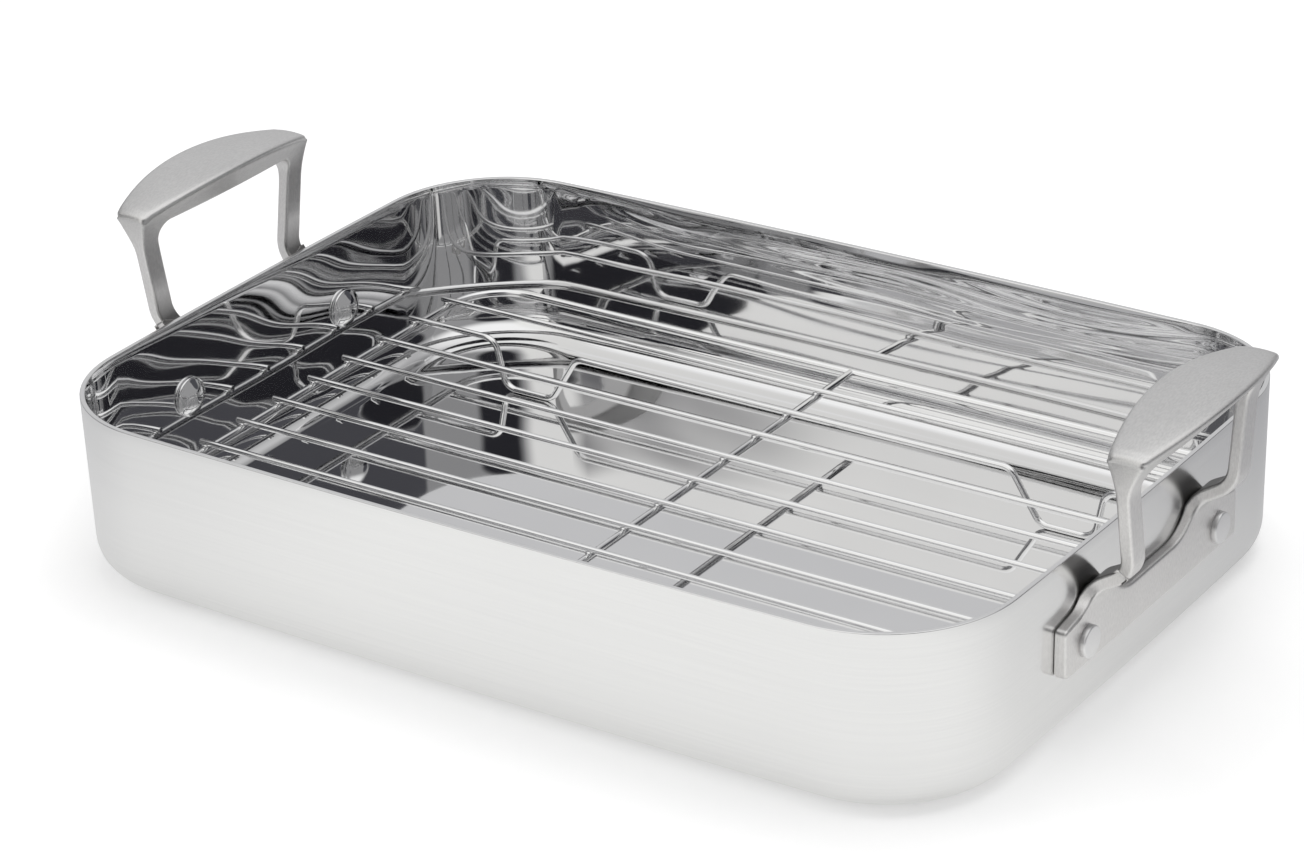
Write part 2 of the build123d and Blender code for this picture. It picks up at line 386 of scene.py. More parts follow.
def rounded_path(corners, radius, steps=10):
    """Open path with its corners rounded by arcs."""
    corners = [Vector(c) for c in corners]
    path = [corners[0]]
    for before, corner, after in zip(corners, corners[1:], corners[2:]):
        into = (before - corner).normalized()
        out = (after - corner).normalized()
        half = into.angle(out) / 2
        reach = radius / math.tan(half)
        start = corner + into * reach
        end = corner + out * reach
        centre = corner + (into + out).normalized() * radius / math.sin(half)
        first, last = start - centre, end - centre
        turn = first.angle(last)
        for step in range(steps + 1):
            share = step / steps
            weight_a = math.sin((1 - share) * turn) / math.sin(turn)
            weight_b = math.sin(share * turn) / math.sin(turn)
            path.append(centre + first * weight_a + last * weight_b)
    path.append(corners[-1])
    return path


def subdivided(path, longest=12.0):
    """Path with points added so that no run is longer than a limit."""
    dense = [path[0]]
    for start, end in zip(path, path[1:]):
        count = max(1, math.ceil((end - start).length / longest))
        for step in range(1, count + 1):
            dense.append(start + (end - start) * step / count)
    return dense


def wire_y(number):
    """Place across the rack of a long wire, counted from 0 at the front."""
    return (number - (wire_count - 1) / 2) * wire_pitch


def wire_half_span(y):
    """Half the length of a long wire, which ends just past the ring."""
    into_corner = abs(y) - (ring_half_width - ring_corner_radius)
    if into_corner <= 0:
        return ring_half_length + wire_overhang
    drawn_in = ring_corner_radius - math.sqrt(ring_corner_radius ** 2 - into_corner ** 2)
    return ring_half_length - drawn_in + wire_overhang


def ring_path(steps=16):
    """Closed path of the ring's middle line."""
    path = []
    x = ring_half_length - ring_corner_radius
    y = ring_half_width - ring_corner_radius
    for centre_x, centre_y, start in ((x, y, 0), (-x, y, 90), (-x, -y, 180), (x, -y, 270)):
        for step in range(steps + 1):
            angle = math.radians(start + 90 * step / steps)
            path.append(Vector((centre_x + ring_corner_radius * math.cos(angle),
                                centre_y + ring_corner_radius * math.sin(angle), ring_z)))
    return subdivided(path + [path[0]])[:-1]


def leg_path(y):
    """Path of a long wire that is bent into a foot near each end."""
    foot_z = sheet_thickness + wire_radius + foot_gap
    outer_top = ring_half_length - leg_inset
    inner_top = outer_top - leg_top_width
    outer_foot = outer_top - leg_outer_slope
    inner_foot = outer_foot - foot_length
    right = [(inner_top, wire_z), (inner_foot, foot_z), (outer_foot, foot_z),
             (outer_top, wire_z), (wire_half_span(y), wire_z)]
    left = [(-x, z) for x, z in reversed(right)]
    return subdivided(rounded_path([(x, y, z) for x, z in left + right], leg_bend_radius))


def weld_places():
    """Where the long wires cross the cross wire and the ring."""
    places = []
    seat = wire_z - wire_radius
    for number in range(wire_count):
        y = wire_y(number)
        reach = wire_half_span(y) - wire_overhang
        places.append((0, y, seat))
        places += [(side * reach, y, seat) for side in (-1, 1)]
    return places


def add_welds(material, rows=6, sides=16):
    """Small beads in the crotch on both sides of each crossing, as one mesh."""
    points, faces = [], []
    for x, y, z in weld_places():
        for side in (-1, 1):
            centre = Vector((x, y + side * wire_radius * weld_offset_share, z))
            rings = []
            for row in range(1, rows):
                polar = math.pi * row / rows
                rings.append([tuple(centre + Vector((weld_length * math.sin(polar) * math.cos(a),
                                                     weld_width * math.sin(polar) * math.sin(a),
                                                     weld_depth * math.cos(polar))))
                              for a in circle_angles(sides)])
            bead_points, bead_faces = grid(rings, close_columns=True)
            bead_points += [tuple(centre + Vector((0, 0, weld_depth * up))) for up in (1, -1)]
            top, bottom = len(bead_points) - 2, len(bead_points) - 1
            last = (rows - 2) * sides
            bead_faces += [((k + 1) % sides, k, top) for k in range(sides)]
            bead_faces += [(last + k, last + (k + 1) % sides, bottom) for k in range(sides)]
            start = len(points)
            points += bead_points
            faces += [tuple(index + start for index in face) for face in bead_faces]
    welds = new_object("rack_welds", points, faces, material)
    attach(welds, "rack")


def add_rack(material):
    ring = add_wire("rack_ring_fine", ring_path(), ring_radius, (0, 0, 1), material, closed=True)
    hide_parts("rack_ring")
    reach = ring_half_width - ring_radius * cross_wire_bite_share
    cross_path = subdivided([Vector((0, -reach, cross_z)), Vector((0, reach, cross_z))])
    cross = add_wire("rack_cross_wire_fine", cross_path, cross_radius, (1, 0, 0), material)
    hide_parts("rack_cross_wire")
    pieces = [ring, cross]
    for number in range(wire_count):
        y = wire_y(number)
        node = f"rack_wire_{number + 1:02d}"
        if number in (leg_wire_order - 1, wire_count - leg_wire_order):
            node = node.replace("wire", "leg_wire")
            path = leg_path(y)
        else:
            span = wire_half_span(y)
            path = subdivided([Vector((-span, y, wire_z)), Vector((span, y, wire_z))])
        wire = add_wire(node + "_fine", path, wire_radius, (0, 1, 0), material)
        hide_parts(node)
        pieces.append(wire)
    for piece in pieces:
        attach(piece, "rack")
    add_welds(material)


# Rivets

def add_turned(name, profile, origin, axis, material):
    """Turned piece: profile is (radius, height) from the tip down, height along the axis."""
    origin, axis = Vector(origin), Vector(axis).normalized()
    across = axis.orthogonal().normalized()
    other = axis.cross(across)
    rows = []
    for radius, height in profile:
        rows.append([tuple(origin + axis * height
                           + (across * math.cos(a) + other * math.sin(a)) * radius)
                     for a in circle_angles(rivet_sides)])
    points, faces = grid(rows, close_columns=True)
    points.append(tuple(origin + axis * profile[0][1]))
    top = len(points) - 1
    faces += [(k, (k + 1) % rivet_sides, top) for k in range(rivet_sides)]
    last = (len(rows) - 1) * rivet_sides
    points.append(tuple(origin + axis * profile[-1][1]))
    faces += [(last + (k + 1) % rivet_sides, last + k, top + 1) for k in range(rivet_sides)]
    return new_object(name, points, faces, material)


def rounded_head(radius, height, crown, edge, crown_steps=8, round_steps=5):
    """Profile of a rivet head with a crowned top and a rounded edge."""
    side_top = height - crown
    profile = []
    for step in range(1, crown_steps + 1):
        share = step / crown_steps
        profile.append(((radius - edge) * share, side_top + crown * (1 - share ** 2)))
    for step in range(1, round_steps + 1):
        angle = math.pi / 2 * step / round_steps
        profile.append((radius - edge + edge * math.sin(angle),
                        side_top - edge + edge * math.cos(angle)))
    profile.append((radius, 0))
    return profile


def add_rivets(outer_material, inner_material):
    inner_wall_x = wall_at_plate - sheet_thickness
    for side, node in ((1, "right_rivets"), (-1, "left_rivets")):
        for y in (-rivet_y, rivet_y):
            where = f"{node}_{'front' if y < 0 else 'back'}"
            profile = rounded_head(rivet_outer_head_diameter / 2, rivet_outer_head_height,
                                   outer_head_crown, outer_head_edge)
            head = add_turned(where + "_head", profile, (side * plate_face_x, y, rivet_z),
                              (side, 0, 0), outer_material)
            wall_bow = short_side_bow * (y / half_width) ** 2
            start_x = inner_wall_x - wall_bow
            dome = rivet_inner_head_height - rivet_inner_head_edge
            profile = rounded_head(rivet_inner_head_diameter / 2, rivet_inner_head_height,
                                   dome, inner_head_edge)
            inner = add_turned(where + "_dome", profile, (side * start_x, y, rivet_z),
                               (-side, 0, 0), inner_material)
            for piece in (head, inner):
                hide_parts(node)
                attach(piece, "pan")


# Handles

def rounded_corner(before, corner, after, radius, steps):
    """Arc that rounds a corner of an outline on the handle's front."""
    flat = [Vector((*p, 0)) for p in (before, corner, after)]
    path = rounded_path(flat, radius, steps)
    return [Vector((p.x, p.y)) for p in path[1:-1]]


def resampled(path, count):
    """Path of evenly spaced points."""
    lengths = [0.0]
    for start, end in zip(path, path[1:]):
        lengths.append(lengths[-1] + (end - start).length)
    total = lengths[-1]
    result = []
    index = 0
    for k in range(count):
        target = total * k / (count - 1)
        while index < len(lengths) - 2 and lengths[index + 1] < target:
            index += 1
        span = lengths[index + 1] - lengths[index]
        share = (target - lengths[index]) / span if span else 0
        result.append(path[index] + (path[index + 1] - path[index]) * share)
    return result


def arch_height(y):
    """Height of the grip's ridge at a place along it."""
    radius = (grip_half_length ** 2 + grip_arch_rise ** 2) / (2 * grip_arch_rise)
    return grip_middle_height + math.sqrt(radius ** 2 - y ** 2) - radius


def bend_angle(z):
    """Lean of the handle's middle line from upright, and its reach, at a height in the S bend."""
    up = z - arm_start_height
    down = arm_top_height - z
    if up <= 0:
        return 0.0, 0.0
    if down <= 0:
        return 0.0, arm_reach
    if up < bend_rise:
        angle = math.asin(up / arm_bend_radius)
        return angle, arm_bend_radius * (1 - math.cos(angle))
    if down < bend_rise:
        angle = math.asin(down / arm_bend_radius)
        return angle, arm_reach - arm_bend_radius * (1 - math.cos(angle))
    return arm_lean, bend_reach + (up - bend_rise) * math.tan(arm_lean)


def bend_heights(count):
    """Heights through the S bend, evenly spaced along its middle line."""
    arc = arm_bend_radius * arm_lean
    total = 2 * arc + arm_run
    heights = []
    for k in range(count + 1):
        along = total * k / count
        if along <= arc:
            heights.append(arm_start_height + arm_bend_radius * math.sin(along / arm_bend_radius))
        elif along >= arc + arm_run:
            left = (total - along) / arm_bend_radius
            heights.append(arm_top_height - arm_bend_radius * math.sin(left))
        else:
            heights.append(arm_start_height + bend_rise + (along - arc) * math.cos(arm_lean))
    return heights


def smooth_max(a, b, width):
    """Larger of two values, rounded over where they are close."""
    blend = max(width - abs(a - b), 0) / width
    return max(a, b) + blend * blend * width / 4


def handle_depths(y, z):
    """Distances from the middle line to the outer and the pan side, at a place on the front."""
    half = plate_thickness / 2
    flare_top = grip_end_height - grip_flare_cover
    flare_start = flare_top - grip_flare_height
    share = min(max((z - flare_start) / grip_flare_height, 0), flare_overrun)
    curve = flare_square_share * share ** 2 + (1 - flare_square_share) * share ** 3
    flare_width = grip_end_width - grip_flare_cover
    front = half + (flare_width * (1 - end_back_share) - half) * curve
    back = half + (flare_width * end_back_share - half) * curve
    if z < flare_start:
        if z < arm_top_height:
            lean, reach = bend_angle(z)
            wall = half_length - (pan_height - z) * flare - short_side_bow * (y / half_width) ** 2
            back = min(half, (plate_middle_x + reach - wall - plate_gap) / math.cos(lean))
        return front, back
    swell = max(0, 1 - (y / grip_half_length) ** 2)
    top_width = grip_end_width + (grip_top_width - grip_end_width) * swell
    base_width = grip_base_end_width + (grip_base_width - grip_base_end_width) * swell
    back_share = end_back_share + (middle_back_share - end_back_share) * swell
    base_z = grip_underside_height - grip_base_sink
    top_z = arch_height(min(abs(y), grip_half_length)) - grip_crown
    rise = min((z - base_z) / (top_z - base_z), 1)
    width = base_width + (top_width - base_width) * rise
    return (smooth_max(front, width * (1 - back_share), grip_blend_width),
            smooth_max(back, width * back_share, grip_blend_width))


def crown_drop(y, z, depth):
    """How far the grip's top falls away towards its long edges, fading out below the top."""
    if z < grip_underside_height:
        return 0.0
    front, back = handle_depths(y, z)
    across = (2 * depth - front + back) / (front + back)
    below = arch_height(min(abs(y), grip_half_length)) - z
    return grip_crown * min(across ** 2, 1) * min(max(1 - below / crown_fade, 0), 1)


def handle_point(y, z, depth):
    """Place on the handle, depth measured outward from its middle line."""
    lean, reach = bend_angle(z)
    x = plate_middle_x + reach
    return (x + depth * math.cos(lean), y, z - depth * math.sin(lean) - crown_drop(y, z, depth))


def handle_outlines():
    """Matching points on the outer outline and round the hand window, for one half."""
    wing_top = plate_bottom_height + wing_depth
    root_height = wing_top + wing_rise
    root_y = grip_half_length - (grip_end_height - root_height) * splay
    bar_top = plate_bottom_height + bar_depth
    window_top_y = grip_half_length - upright_width - (grip_end_height - grip_underside_height) * splay
    window_low_y = window_top_y - (grip_underside_height - bar_top) * splay

    def outer_y(z):
        return grip_half_length - (grip_end_height - z) * splay

    def inner_y(z):
        return window_top_y - (grip_underside_height - z) * splay

    top_corner = rounded_corner((window_top_y - window_corner_radius, arch_height(window_top_y)),
                                (grip_half_length, grip_end_height),
                                (outer_y(outer_mark), outer_mark),
                                grip_end_round, 14)
    window_corner = rounded_corner((0, grip_underside_height),
                                   (window_top_y, grip_underside_height),
                                   (inner_y(window_mark), window_mark),
                                   window_corner_radius, 14)
    root_corner = rounded_corner((outer_y(outer_mark), outer_mark), (root_y, root_height),
                                 (plate_half_length, wing_top), root_outer_radius, 16)
    wing_corner = rounded_corner((root_y, root_height), (plate_half_length, wing_top),
                                 (plate_half_length, plate_bottom_height), plate_corner_radius, 10)
    low_corner = rounded_corner((plate_half_length, wing_top),
                                (plate_half_length, plate_bottom_height),
                                (0, plate_bottom_height), plate_corner_radius, 10)
    low_window = rounded_corner((inner_y(window_mark), window_mark), (window_low_y, bar_top),
                                (0, bar_top), root_inner_radius, 20)
    outer, inner = [], []

    # Grip: straight up and down
    grip_edge = window_corner[0].x
    for k in range(grip_rows):
        y = grip_edge * k / grip_rows
        outer.append(Vector((y, arch_height(y))))
        inner.append(Vector((y, grip_underside_height)))
    # Corner of the grip: a fan
    low_z = window_corner[-1].y
    fan_outer = [Vector((grip_edge, arch_height(grip_edge)))]
    for k in range(1, short_rows):
        y = grip_edge + (top_corner[0].x - grip_edge) * k / short_rows
        fan_outer.append(Vector((y, arch_height(y))))
    fan_outer += top_corner
    fan_outer.append(Vector((outer_y(low_z), low_z)))
    outer += resampled(fan_outer, grip_corner_rows + 1)[:-1]
    inner += resampled(window_corner, grip_corner_rows + 1)[:-1]
    # Upright, down to where the window's lower corner starts
    bend = bend_heights(s_bend_rows)
    fan_start = low_window[0].y
    heights = [low_z + (arm_top_height - low_z) * k / upright_rows for k in range(upright_rows)]
    heights += [z for z in reversed(bend) if z > fan_start]
    for z in heights:
        outer.append(Vector((outer_y(z), z)))
        inner.append(Vector((inner_y(z), z)))
    # Wing and plate end: a fan round the window's lower corner
    fan_outer = [Vector((outer_y(z), z)) for z in reversed(bend) if root_corner[0].y < z <= fan_start]
    fan_outer = [Vector((outer_y(fan_start), fan_start))] + fan_outer + root_corner + wing_corner
    fan_outer += low_corner
    fan_outer.append(Vector((low_window[-1].x, plate_bottom_height)))
    outer += resampled(fan_outer, wing_rows + 1)[:-1]
    inner += resampled(low_window, wing_rows + 1)[:-1]
    # Bar under the window
    for k in range(short_rows + 1):
        y = low_window[-1].x * (1 - k / short_rows)
        outer.append(Vector((y, plate_bottom_height)))
        inner.append(Vector((y, bar_top)))
    return outer, inner


def outline_normals(path, sign):
    """Unit normals in the plane of a half outline that meets the mirror line squarely."""
    count = len(path)
    normals = []
    for k in range(count):
        before = path[k - 1] if k else Vector((-path[1].x, path[1].y))
        after = path[k + 1] if k < count - 1 else Vector((-path[-2].x, path[-2].y))
        along = (after - before).normalized()
        normals.append(Vector((along.y, -along.x)) * sign)
    return normals


def handle_loop(outer, outer_in, inner, inner_in):
    """Cross section of the handle from its outer edge over the front to the window and back."""
    on_grip = outer.y > grip_end_height - grip_edge_reach
    edge = grip_edge_round if on_grip else handle_edge_round
    quarter = [math.pi / 2 * k / handle_round_steps for k in range(handle_round_steps + 1)]
    front_side, back_side = [], []
    rounded = [(outer + outer_in * edge * (1 - math.cos(a)), edge * (1 - math.sin(a)))
               for a in quarter]
    window = [(inner + inner_in * window_edge_round * (1 - math.cos(a)),
               window_edge_round * (1 - math.sin(a))) for a in reversed(quarter)]
    flat_start = rounded[-1][0]
    flat_run = window[0][0] - flat_start
    between = [(flat_start + flat_run * k / handle_face_steps, 0)
               for k in range(1, handle_face_steps)]
    for place, drop in rounded + between + window:
        front, back = handle_depths(place.x, place.y)
        front_side.append((place, front - drop))
        back_side.append((place, -(back - drop)))
    loop = [handle_point(p.x, p.y, d) for p, d in front_side]
    # Window wall, from the front edge to the back edge
    front, back = front_side[-1][1], back_side[-1][1]
    for k in range(1, handle_window_steps):
        depth = front + (back - front) * k / handle_window_steps
        loop.append(handle_point(inner.x, inner.y, depth))
    loop += [handle_point(p.x, p.y, d) for p, d in reversed(back_side)]
    # Outer wall or top of the grip, from the back edge to the front edge
    front, back = front_side[0][1], back_side[0][1]
    for k in range(1, handle_top_steps):
        share = k / handle_top_steps
        depth = back + (front - back) * share
        loop.append(handle_point(outer.x, outer.y, depth))
    return loop


def add_handle(side, material):
    outer, inner = handle_outlines()
    outer_in = outline_normals(outer, 1)
    inner_in = outline_normals(inner, -1)
    half_rows = [handle_loop(*parts) for parts in zip(outer, outer_in, inner, inner_in)]
    rows = half_rows + [[(x, -y, z) for x, y, z in row] for row in reversed(half_rows[1:-1])]
    if side < 0:
        rows = [[(-x, y, z) for x, y, z in row] for row in rows]
    points, faces = grid(rows, True, True)
    name = "right_handle" if side > 0 else "left_handle"
    handle = new_object(name + "_fine", points, faces, material)
    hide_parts(name)
    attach(handle, "pan")
    return handle


# Materials

class Shader:
    """Node material in object coordinates, built up from outputs of small node groups."""

    def __init__(self, name):
        self.material = bpy.data.materials.new(name)
        self.material.use_nodes = True
        self.tree = self.material.node_tree
        self.surface = self.tree.nodes["Principled BSDF"]
        self.coordinates = self.node("ShaderNodeTexCoord").outputs["Object"]

    def node(self, kind, **values):
        node = self.tree.nodes.new(kind)
        for key, value in values.items():
            if key in node.inputs:
                node.inputs[key].default_value = value
            else:
                setattr(node, key, value)
        return node

    def link(self, source, target):
        self.tree.links.new(source, target)

    def stretched(self, scale):
        """Object coordinates scaled along each axis."""
        node = self.node("ShaderNodeMapping")
        node.inputs["Scale"].default_value = scale
        self.link(self.coordinates, node.inputs["Vector"])
        return node.outputs["Vector"]

    def noise(self, scale, stretch=(1, 1, 1), detail=2.0, roughness=0.5):
        node = self.node("ShaderNodeTexNoise")
        node.inputs["Scale"].default_value = scale
        node.inputs["Detail"].default_value = detail
        node.inputs["Roughness"].default_value = roughness
        self.link(self.stretched(stretch), node.inputs["Vector"])
        return node.outputs["Fac"]

    def place(self):
        """Object coordinates as three outputs."""
        parts = self.node("ShaderNodeSeparateXYZ")
        self.link(self.coordinates, parts.inputs[0])
        return [parts.outputs[axis] for axis in "XYZ"]

    def eased(self, source, zone):
        """0 to 1 over a zone of the source, eased at both ends."""
        return self.ramp(source, *zone, 0, 1, "SMOOTHSTEP")

    def swing(self, source):
        """Noise moved to run about zero."""
        return self.ramp(source, 0, 1, -0.5, 0.5)

    def ramp(self, source, low, high, low_value, high_value, kind="LINEAR"):
        """Source mapped from one range to another and held at its ends."""
        node = self.node("ShaderNodeMapRange", interpolation_type=kind)
        node.inputs["From Min"].default_value = low
        node.inputs["From Max"].default_value = high
        node.inputs["To Min"].default_value = low_value
        node.inputs["To Max"].default_value = high_value
        self.link(source, node.inputs["Value"])
        return node.outputs["Result"]

    def blend(self, factor, low, high):
        """Mix of two colours, each a colour or an output, by a factor output."""
        node = self.node("ShaderNodeMix", data_type="RGBA")
        sockets = {s.name: s for s in node.inputs if s.type == "RGBA"}
        share = next(s for s in node.inputs if s.name == "Factor" and s.type == "VALUE")
        self.link(factor, share)
        for name, value in (("A", low), ("B", high)):
            if isinstance(value, tuple):
                sockets[name].default_value = (*value, 1)
            else:
                self.link(value, sockets[name])
        return next(s for s in node.outputs if s.type == "RGBA")

    def maths(self, operation, source, other):
        node = self.node("ShaderNodeMath", operation=operation)
        self.link(source, node.inputs[0])
        self.link(other, node.inputs[1])
        return node.outputs[0]

    def times(self, source, other):
        return self.maths("MULTIPLY", source, other)

    def plus(self, source, other):
        return self.maths("ADD", source, other)

    def distance(self, point):
        """Distance of the shaded place from a point, both in object coordinates."""
        node = self.node("ShaderNodeVectorMath", operation="DISTANCE")
        node.inputs[1].default_value = point
        self.link(self.coordinates, node.inputs[0])
        return node.outputs["Value"]

    def tinted(self, colour, share):
        """Colour output darkened to a share."""
        node = self.node("ShaderNodeVectorMath", operation="SCALE")
        node.inputs["Scale"].default_value = share
        self.link(colour, node.inputs[0])
        return node.outputs[0]

    def bump(self, sources):
        """Chain of bump nodes from (height, distance in metres, strength)."""
        normal = None
        for height, distance, strength in sources:
            node = self.node("ShaderNodeBump")
            node.inputs["Distance"].default_value = distance
            node.inputs["Strength"].default_value = strength
            self.link(height, node.inputs["Height"])
            if normal:
                self.link(normal, node.inputs["Normal"])
            normal = node.outputs["Normal"]
        self.link(normal, self.surface.inputs["Normal"])


def brushed_outside():
    """Satin outer face with fine marks that run round the wall."""
    s = Shader("pan_outside_satin")
    s.surface.inputs["Metallic"].default_value = 1.0
    streaks = s.noise(90, (0.12, 0.12, 14), 4.0, 0.6)
    cloud = s.noise(9, (1, 1, 1), 3.0, 0.5)
    s.link(s.blend(streaks, (0.82, 0.82, 0.82), (0.88, 0.88, 0.875)), s.surface.inputs["Base Color"])
    s.link(s.ramp(cloud, 0.3, 0.7, 0.13, 0.19), s.surface.inputs["Roughness"])
    s.bump([(streaks, 0.00004, 0.25)])
    return s.material


# Zones of the polished inside, in metres along one axis
above_floor = (0.003, 0.022)
back_wall = (0.118, 0.136)
past_back_corner = (-0.16, -0.08)
toward_rim = (0.030, 0.062)
right_half = (-0.10, 0.02)
lip_rise = (0.028, 0.072)


def polished_inside():
    """Mirror inside with the waves of drawn sheet, strong on the walls and faint on the floor."""
    s = Shader("pan_inside_polish")
    s.surface.inputs["Metallic"].default_value = 1.0
    tint = s.noise(14, (1, 1, 1), 3.0, 0.5)
    s.link(s.blend(tint, (0.78, 0.78, 0.785), (0.86, 0.86, 0.86)), s.surface.inputs["Base Color"])
    haze = s.noise(30, (1, 1, 1), 4.0, 0.6)
    s.link(s.ramp(haze, 0.3, 0.8, 0.02, 0.05), s.surface.inputs["Roughness"])
    x, y, z = s.place()
    on_wall = s.ramp(z, *above_floor, 0.03, 1, "SMOOTHSTEP")
    on_back = s.times(s.eased(y, back_wall), s.eased(x, past_back_corner))
    to_rim = s.times(s.eased(z, toward_rim), s.eased(x, right_half))
    # Broad waves of the ends and the front, nearly gone on the back wall
    waves = s.swing(s.noise(13, (1, 1, 2.3), 0.0, 0.5))
    slow = s.times(s.times(waves, on_wall), s.ramp(on_back, 0, 1, 1, 0.12))
    # Long waves of the back wall, with streaks and flow lines near its rim
    along_back = s.times(s.swing(s.noise(14, (0.5, 0.5, 2.6), 0.0, 0.5)), on_back)
    streaks = s.swing(s.noise(50, (0.10, 0.10, 2.0), 0.0, 0.5))
    fine = s.times(s.times(streaks, to_rim), on_back)
    bands = s.node("ShaderNodeTexWave", bands_direction="Z", **{
        "Scale": 45.0, "Distortion": 14.0, "Detail": 2.0, "Detail Scale": 0.25})
    s.link(s.stretched((0.35, 0.35, 1)), bands.inputs["Vector"])
    flow = s.times(s.times(bands.outputs["Fac"], to_rim), on_back)
    # Slight lean of the wall toward the rim
    flared = s.ramp(z, *lip_rise, 0, 1)
    lip = s.times(s.times(flared, flared), s.ramp(on_back, 0, 1, -0.35, -1))
    s.bump([(lip, 0.0026, 1.0), (slow, 0.0016, 1.0), (along_back, 0.0010, 1.0),
            (fine, 0.0005, 1.0), (flow, 0.00007, 1.0)])
    return s.material


# Zones of the handles by height, in metres: the grip, and where the painted shade of the S bend fades
# in and out
grip_zone = (0.100, 0.108)
bend_start = (0.045, 0.052)
bend_end = (0.064, 0.078)

# Outward part of the normal times the distance from the middle, where a face starts to face the pan
# and takes the painted shade of the S bend
pan_facing = (-0.02, -0.07)


def cast_satin():
    """Lightly brushed cast steel, paler on the uprights, with painted shade on the faces in the S bend
    that turn toward the pan.
    """
    s = Shader("handle_cast_satin")
    s.surface.inputs["Metallic"].default_value = 1.0
    x, _, z = s.place()
    on_grip = s.ramp(z, *grip_zone, 0, 1)
    along_grip = s.noise(1700, (1, 0.3, 1), 2.0, 0.6)
    down_upright = s.noise(1700, (1, 1, 0.3), 2.0, 0.6)
    grain = s.blend(on_grip, down_upright, along_grip)
    cloud = s.noise(60, (1, 1, 1), 3.0, 0.6)
    upright = s.blend(cloud, (0.84, 0.83, 0.82), (0.91, 0.90, 0.89))
    grip = s.blend(cloud, (0.76, 0.755, 0.745), (0.83, 0.825, 0.815))
    # Mask of painted shade: faces in the S bend that turn toward the pan
    outward = s.node("ShaderNodeSeparateXYZ")
    s.link(s.node("ShaderNodeTexCoord").outputs["Normal"], outward.inputs[0])
    faces_pan = s.ramp(s.times(outward.outputs["X"], x), *pan_facing, 0, 1)
    bend_shade_mask = s.times(faces_pan, s.times(s.ramp(z, *bend_start, 0, 1), s.ramp(z, *bend_end, 1, 0)))
    # Painted shade: the masked faces take a dark grey in place of the steel's tone
    pale = s.blend(bend_shade_mask, s.blend(on_grip, upright, grip), (0.25, 0.245, 0.24))
    s.link(s.blend(s.ramp(grain, 0.35, 0.65, 0, 1), s.tinted(pale, 0.89), pale),
           s.surface.inputs["Base Color"])
    s.link(s.ramp(grain, 0.3, 0.7, 0.34, 0.42), s.surface.inputs["Roughness"])
    s.bump([(grain, 0.00005, 0.4)])
    return s.material


def rivet_steel(name, low, high, roughness):
    """Plain steel between two greys, with faint marks."""
    s = Shader(name)
    s.surface.inputs["Metallic"].default_value = 1.0
    marks = s.noise(500, (1, 1, 1), 3.0, 0.6)
    s.link(s.blend(marks, (low, low, low), (high, high, high)), s.surface.inputs["Base Color"])
    s.link(s.ramp(marks, 0.3, 0.7, roughness, roughness * 1.3), s.surface.inputs["Roughness"])
    s.bump([(marks, 0.00004, 0.2)])
    return s.material


def bright_wire():
    """Bright drawn wire with faint draw marks."""
    s = Shader("rack_bright_wire")
    s.surface.inputs["Metallic"].default_value = 1.0
    marks = s.noise(400, (0.05, 1, 1), 3.0, 0.6)
    s.link(s.blend(marks, (0.82, 0.82, 0.82), (0.92, 0.92, 0.92)), s.surface.inputs["Base Color"])
    s.link(s.ramp(marks, 0.3, 0.7, 0.04, 0.08), s.surface.inputs["Roughness"])
    s.bump([(marks, 0.00003, 0.2)])
    return s.material


# Stage

floor_size = 16.0
floor_glow = 0.32
even_light = 0.62

# Middle of a painted light and a painted shade on the floor, seen only in the steel, and where each is
# full and where it ends, in metres
painted_floor_light = ((0.10, -0.25, 0), (0.18, 0.54))
painted_floor_shade = ((0.32, 0.14, 0), (0.16, 0.34))


def add_floor():
    """Plain pale floor for the camera. For the steel it glows with painted light, bright in front,
    with painted shade by the right end, paler behind.
    """
    half = floor_size / 2
    mesh = bpy.data.meshes.new("floor")
    mesh.from_pydata([(-half, -half, 0), (half, -half, 0), (half, half, 0), (-half, half, 0)],
                     [], [(0, 1, 2, 3)])
    floor = bpy.data.objects.new("floor", mesh)
    bpy.context.scene.collection.objects.link(floor)
    s = Shader("floor_white")
    grain = s.noise(40, (1, 1, 1), 2.0, 0.5)
    pale = s.blend(grain, (0.84, 0.84, 0.84), (0.86, 0.86, 0.86))
    from_front, from_right = (s.eased(s.distance(middle), reach)
                              for middle, reach in (painted_floor_light, painted_floor_shade))
    # Painted shade by the right end and painted light in front, used only for glossy rays
    far = s.blend(from_right, (0.44, 0.44, 0.455), (0.60, 0.60, 0.61))
    painted_mirror_tone = s.blend(from_front, (0.98, 0.98, 0.97), far)
    rays = s.node("ShaderNodeLightPath")
    mirrored, seen = rays.outputs["Is Glossy Ray"], rays.outputs["Is Camera Ray"]
    half_tone = s.tinted(painted_mirror_tone, 0.5)
    s.link(s.blend(mirrored, pale, half_tone), s.surface.inputs["Base Color"])
    s.surface.inputs["Roughness"].default_value = 0.9
    s.surface.inputs["Specular IOR Level"].default_value = 0.0
    # Painted light: for glossy rays the floor glows with these tones though it is no lamp; for the
    # camera an even glow keeps it white
    s.link(s.blend(mirrored, (1, 1, 1), half_tone), s.surface.inputs["Emission Color"])
    s.link(s.plus(s.ramp(seen, 0, 1, 0, floor_glow), mirrored),
           s.surface.inputs["Emission Strength"])
    mesh.materials.append(s.material)


def unit(x, y, z):
    return tuple(Vector((x, y, z)).normalized())


